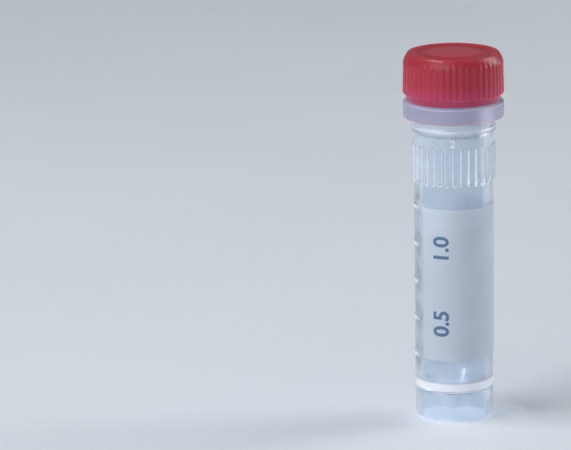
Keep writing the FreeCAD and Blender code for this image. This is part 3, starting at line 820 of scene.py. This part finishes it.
def tube_plastic(name, least_haze=0.0):
    """Natural polypropylene: it can be seen through, with a veil where it is thick or dulled, and
    with painted highlight lines where its haze carries them.
    The collar's lilac is partly painted light, and the red line under the collar is painted light
    of the cap.

    Shadow rays pass through it, so that it lets light in.
    """
    nodes = Nodes(name)
    level = nodes.sides()["Z"]
    # the haze attribute also carries painted highlight lines
    haze_and_highlights = nodes.node("Attribute", attribute_name="haze_and_highlights").outputs["Fac"]
    haze_and_highlights = nodes.math("MAXIMUM", haze_and_highlights, least_haze)
    veil = nodes.vary(nodes.noise(VEIL_PER_MM, detail=2.0), *VEIL)
    not_hazy_nor_highlit, not_veiled = (nodes.math("SUBTRACT", 1.0, cover) for cover in (haze_and_highlights, veil))
    tone = nodes.mix(nodes.ramp(haze_and_highlights, 0.0, CLOUDY_HAZE), CLEAR_TONE, CLOUDY_AND_HIGHLIGHT_TONE)
    # the collar's tone, partly painted light of the cap and the surroundings
    tone = nodes.mix(nodes.belt(level, *COLLAR_BELT), tone, COLLAR_TONE_AND_CAST_LIGHT)
    # painted red light of the cap along the collar's lower edge
    tone = nodes.layer(tone, nodes.belt(level, *LIP_BELT), LIP_CAP_LIGHT_SHARE, LIP_CAP_LIGHT_TONE)
    rough = nodes.vary(nodes.noise(CLEAR_ROUGH_PER_MM), *CLEAR_ROUGH)
    rougher = nodes.math("MULTIPLY", nodes.wall_ramp(level, *FINISH_LEVELS), FINISH_ROUGHER)
    grain = nodes.noise(CLEAR_GRAIN_PER_MM, detail=4.0)
    plastic = nodes.shader(
        Base_Color=tone,
        Roughness=nodes.math("ADD", rough, rougher),
        IOR=PLASTIC_IOR,
        Transmission_Weight=nodes.math("MULTIPLY", not_hazy_nor_highlit, not_veiled),
        Normal=nodes.bump(grain, CLEAR_GRAIN_DEPTH, CLEAR_GRAIN_STRENGTH))
    through = nodes.node("BsdfTransparent")
    nodes.feed(through.inputs["Color"], SHADOW_TONE)
    in_shadow = nodes.node("LightPath").outputs["Is Shadow Ray"]
    return nodes.finish(nodes.blend(in_shadow, plastic, through))


# ---------------------------------------------------------------- red plastic
CAP_TONES = (0.375, 0.028, 0.053, 1), (0.40, 0.031, 0.058, 1)
CAP_FLOW_PER_MM, CAP_FLOW_STRETCH = 0.5, (1, 1, 0.4)
# painted light: the cap pinker towards its foot, a glow of light coming through it from below
CAP_FOOT_GLOW_TONE, CAP_FOOT_GLOW_SHARE = (0.46, 0.058, 0.165, 1), 0.6
CAP_FOOT_LEVELS = (GRIP_FOOT_Z + 2.2, GRIP_FOOT_Z - 0.2)
# painted light: the plain ring below the grip pinker still
CAP_RING_GLOW_TONE, CAP_RING_GLOW_SHARE = (0.56, 0.072, 0.15, 1), 0.5
CAP_RING_LEVELS = (GRIP_FOOT_Z, GRIP_FOOT_Z - 0.15)
# painted shade: the top darker
CAP_TOP_SHADE_TONE, CAP_TOP_SHADE_SHARE = (0.29, 0.03, 0.038, 1), 0.7
CAP_TOP_LEVELS = (CAP_TOP_Z - 1.9, CAP_TOP_Z - 0.5)
# painted light: the top's middle lighter than the dished ring round it
CAP_DISC_LIGHT_TONE, CAP_DISC_LIGHT_SHARE = (0.42, 0.055, 0.09, 1), 0.5
CAP_DISC_RADII = (DISH_INNER_R + 0.3, DISH_INNER_R - 0.6)
# painted highlight: a light line along the ledge at the grip's foot
CAP_LEDGE_HIGHLIGHT_TONE, CAP_LEDGE_HIGHLIGHT_SHARE = (0.62, 0.15, 0.24, 1), 0.5
CAP_LEDGE_BELT = (GRIP_FOOT_Z - 0.02, GRIP_FOOT_Z + 0.1, 0.08)
CAP_ROUGH_PER_MM, CAP_ROUGH = 0.9, (0.285, 0.32)
CAP_GRAIN_PER_MM, CAP_GRAIN_DEPTH, CAP_GRAIN_STRENGTH = 5.0, 0.004, 0.08
CAP_SHEEN = 0.3
CAP_DEEP_LIGHT = 0.75
CAP_DEEP_LIGHT_M = 0.0024
CAP_DEEP_LIGHT_RADII = (1.6, 0.4, 0.35)


def cap_plastic():
    """Red polypropylene that lets some light in. Painted shade makes it darker on top, painted
    light makes the top's middle lighter and its thin foot and plain ring pinker, and a painted
    highlight runs along the ledge at the grip's foot.
    """
    nodes = Nodes("red_plastic")
    sides = nodes.sides()
    level = sides["Z"]
    on_top = nodes.wall_ramp(level, *CAP_TOP_LEVELS)
    lighter_middle = nodes.math("MULTIPLY", nodes.wall_ramp(nodes.radius(sides), *CAP_DISC_RADII), on_top)
    foot_glow = nodes.wall_ramp(level, *CAP_FOOT_LEVELS)
    ring = nodes.wall_ramp(level, *CAP_RING_LEVELS)
    ledge_highlight = nodes.belt(level, *CAP_LEDGE_BELT)
    flow = nodes.noise(CAP_FLOW_PER_MM, detail=2.0, stretch=CAP_FLOW_STRETCH)
    tone = nodes.mix(nodes.vary(flow), *CAP_TONES)
    # painted glow at the foot
    tone = nodes.layer(tone, foot_glow, CAP_FOOT_GLOW_SHARE, CAP_FOOT_GLOW_TONE)
    # painted glow on the plain ring
    tone = nodes.layer(tone, ring, CAP_RING_GLOW_SHARE, CAP_RING_GLOW_TONE)
    # painted shade on the top
    tone = nodes.layer(tone, on_top, CAP_TOP_SHADE_SHARE, CAP_TOP_SHADE_TONE)
    # painted light in the top's middle
    tone = nodes.layer(tone, lighter_middle, CAP_DISC_LIGHT_SHARE, CAP_DISC_LIGHT_TONE)
    # painted highlight along the ledge
    tone = nodes.layer(tone, ledge_highlight, CAP_LEDGE_HIGHLIGHT_SHARE, CAP_LEDGE_HIGHLIGHT_TONE)
    grain = nodes.noise(CAP_GRAIN_PER_MM, detail=4.0)
    return nodes.finish(nodes.shader(
        Base_Color=tone,
        Roughness=nodes.vary(nodes.noise(CAP_ROUGH_PER_MM), *CAP_ROUGH),
        IOR=PLASTIC_IOR,
        Specular_IOR_Level=CAP_SHEEN,
        Subsurface_Weight=CAP_DEEP_LIGHT,
        Subsurface_Scale=CAP_DEEP_LIGHT_M,
        Subsurface_Radius=CAP_DEEP_LIGHT_RADII,
        Normal=nodes.bump(grain, CAP_GRAIN_DEPTH, CAP_GRAIN_STRENGTH)))


# ---------------------------------------------------------------- label film, ink and seal
# the film's bluish white: partly its own white, partly painted blue light of the surroundings
FILM_TONES_AND_BLUE_LIGHT = (0.645, 0.705, 0.79, 1), (0.67, 0.73, 0.82, 1)
FILM_PATCH_PER_MM = 0.25
# painted light: the film's inner side whiter, for light that reaches it through the tube
FILM_LIT_BACK_TONE = (0.93, 0.94, 0.95, 1)
FILM_BACK_RADII = (LABEL_MID_R + 0.015, LABEL_MID_R - 0.015)
FILM_TOOTH_PER_MM, FILM_TOOTH_DETAIL, FILM_TOOTH_ROUGHNESS = 7.0, 5.0, 0.65
FILM_TOOTH_DEPTH, FILM_TOOTH_STRENGTH = 0.006, 0.5
FILM_ROUGH = (0.5, 0.64)
FILM_IOR = 1.45
FILM_THIN = 0.35  # the share of the light that comes through the film

INK_TONES = (0.055, 0.14, 0.27, 1), (0.07, 0.17, 0.31, 1)
INK_SPECK_PER_MM, INK_SPECK_RANGE = 9.0, (0.35, 0.65)
INK_SPECK_DEPTH, INK_SPECK_STRENGTH = 0.002, 0.3
INK_ROUGH = (0.42, 0.55)

SEAL_TONES = (0.62, 0.60, 0.58, 1), (0.72, 0.70, 0.68, 1)
SEAL_GRAIN_PER_MM, SEAL_GRAIN_DEPTH, SEAL_GRAIN_STRENGTH = 4.0, 0.01, 0.3
SEAL_ROUGH = (0.5, 0.62)


def label_paper():
    """White writing film, matt, with a fine tooth, that lets some light through. Its inner side is
    painted whiter as light that reaches it through the tube, and its bluish white is partly painted
    blue light.
    """
    nodes = Nodes("writing_film")
    tooth = nodes.noise(
        FILM_TOOTH_PER_MM, detail=FILM_TOOTH_DETAIL, roughness=FILM_TOOTH_ROUGHNESS)
    patch = nodes.noise(FILM_PATCH_PER_MM, detail=2.0)
    # painted light on the film's inner side
    lit_back = nodes.wall_ramp(nodes.radius(nodes.sides()), *FILM_BACK_RADII)
    tone = nodes.mix(lit_back, nodes.mix(nodes.vary(patch), *FILM_TONES_AND_BLUE_LIGHT), FILM_LIT_BACK_TONE)
    film = nodes.shader(
        Base_Color=tone,
        Roughness=nodes.vary(tooth, *FILM_ROUGH),
        IOR=FILM_IOR,
        Normal=nodes.bump(tooth, FILM_TOOTH_DEPTH, FILM_TOOTH_STRENGTH))
    glow = nodes.node("BsdfTranslucent")
    nodes.feed(glow.inputs["Color"], tone)
    return nodes.finish(nodes.blend(FILM_THIN, film, glow))


def print_ink():
    """Blue printing ink with a fine speckle."""
    nodes = Nodes("blue_ink")
    speck = nodes.noise(INK_SPECK_PER_MM)
    return nodes.finish(nodes.shader(
        Base_Color=nodes.mix(nodes.ramp(speck, *INK_SPECK_RANGE), *INK_TONES),
        Roughness=nodes.vary(speck, *INK_ROUGH),
        Normal=nodes.bump(speck, INK_SPECK_DEPTH, INK_SPECK_STRENGTH)))


def seal_silicone():
    """Pale silicone rubber."""
    nodes = Nodes("seal_silicone")
    grain = nodes.noise(SEAL_GRAIN_PER_MM)
    return nodes.finish(nodes.shader(
        Base_Color=nodes.mix(grain, *SEAL_TONES),
        Roughness=nodes.vary(grain, *SEAL_ROUGH),
        Normal=nodes.bump(grain, SEAL_GRAIN_DEPTH, SEAL_GRAIN_STRENGTH)))


def dress(piece, material):
    """Gives a piece its one material."""
    piece.data.materials.clear()
    piece.data.materials.append(material)


# ---------------------------------------------------------------- pieces
tube = make_tube()
dress(tube, tube_plastic("natural_plastic"))
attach(tube, "vial")
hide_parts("tube")

cap = make_cap()
dress(cap, cap_plastic())
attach(cap, "cap")
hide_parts("screw_cap")

label = make_label()
dress(label, label_paper())
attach(label, "vial")
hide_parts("label")

INK = print_ink()
for name, text, bar in PRINTED:
    place = round_wall(LABEL_FACE_R, NUMBER_TURN, BAR_LEVELS[bar], upright=False)
    printed = numeral(name, text, NUMBER_HEIGHT, INK_THICKNESS, place, weight=NUMBER_WEIGHT)
    dress(printed, INK)
    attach(printed, "vial")

mark_place = round_wall(NECK_R - MARK_SINK, MARK_TURN, MARK_Z, upright=True)
mark = numeral("neck_numeral", "2", MARK_HEIGHT, MARK_THICKNESS, mark_place, edge=MARK_EDGE)
dress(mark, tube_plastic("dulled_plastic", HAZE_MARK))
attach(mark, "vial")

dress(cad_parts["seal_ring"], seal_silicone())

# ---------------------------------------------------------------- floor, lights and camera
# All sizes and places here are in metres, except the lens.
GROUND_REACH = 3.0
GROUND_TONES = (0.66, 0.70, 0.75, 1), (0.68, 0.72, 0.77, 1)
GROUND_NOISE_PER_MM, GROUND_ROUGH = 0.02, (0.58, 0.64)

# name, place, width, height, and power in watts
LIGHTS = [
    ("key", (-0.555, -0.855, 0.44), 1.12, 0.82, 7.2),
    ("overhead", (-0.25, -0.07, 0.50), 0.28, 0.05, 1.5),
    ("strip", (0.84, 0.27, 0.30), 0.45, 1.0, 7.5),
]
LIGHTS_AIM = (0, 0, 0.025)
WORLD_TONE, WORLD_STRENGTH = (0.80, 0.86, 0.95, 1), 0.19

CAMERA_PITCH, CAMERA_ROLL = math.radians(13.704), math.radians(-0.741)
CAMERA_DISTANCE, CAMERA_ASIDE, CAMERA_AIM_Z = 0.5668, -0.02165, 0.02554
CAMERA_NEAR = 0.01
SENSOR_MM, LENS_MM = 36.0, 277.8


def ground_material():
    """A pale, dull floor."""
    nodes = Nodes("pale_floor")
    noise = nodes.noise(GROUND_NOISE_PER_MM)
    return nodes.finish(nodes.shader(
        Base_Color=nodes.mix(noise, *GROUND_TONES),
        Roughness=nodes.vary(noise, *GROUND_ROUGH)))


def make_ground():
    """A wide flat floor."""
    corners = ((-1, -1), (1, -1), (1, 1), (-1, 1))
    vertices = [(side * GROUND_REACH, depth * GROUND_REACH, 0) for side, depth in corners]
    mesh = bpy.data.meshes.new("floor")
    mesh.from_pydata(vertices, [], [(0, 1, 2, 3)])
    floor = link(bpy.data.objects.new("floor", mesh))
    dress(floor, ground_material())


def area_light(name, place, width, height, power):
    """A soft rectangular light that points at the vial."""
    light = bpy.data.lights.new(name, "AREA")
    light.shape = "RECTANGLE"
    light.size, light.size_y = width, height
    light.energy = power
    lamp = link(bpy.data.objects.new(name, light))
    lamp.location = place
    aim = Vector(LIGHTS_AIM) - Vector(place)
    lamp.rotation_euler = aim.to_track_quat("-Z", "Y").to_euler()


def make_world():
    """Even, slightly blue light from all sides."""
    world = bpy.data.worlds.new("studio")
    bpy.context.scene.world = world
    world.use_nodes = True
    background = world.node_tree.nodes["Background"]
    background.inputs["Color"].default_value = WORLD_TONE
    background.inputs["Strength"].default_value = WORLD_STRENGTH


def make_camera():
    """A camera at the photograph's viewing angle."""
    sine, cosine = math.sin(CAMERA_PITCH), math.cos(CAMERA_PITCH)
    right, up, ahead = Vector((1, 0, 0)), Vector((0, sine, cosine)), Vector((0, cosine, -sine))
    right, up = (math.cos(CAMERA_ROLL) * right + math.sin(CAMERA_ROLL) * up,
                 math.cos(CAMERA_ROLL) * up - math.sin(CAMERA_ROLL) * right)
    place = Vector((CAMERA_ASIDE, -CAMERA_DISTANCE * cosine, CAMERA_AIM_Z + CAMERA_DISTANCE * sine))
    data = bpy.data.cameras.new("camera")
    data.sensor_width = SENSOR_MM
    data.lens = LENS_MM
    data.clip_start = CAMERA_NEAR
    camera = link(bpy.data.objects.new("camera", data))
    axes = Matrix((right, up, -ahead)).transposed().to_4x4()
    camera.matrix_world = Matrix.Translation(place) @ axes
    bpy.context.scene.camera = camera


bpy.context.scene.view_settings.view_transform = "Standard"
make_ground()
make_world()
for light in LIGHTS:
    area_light(*light)
make_camera()
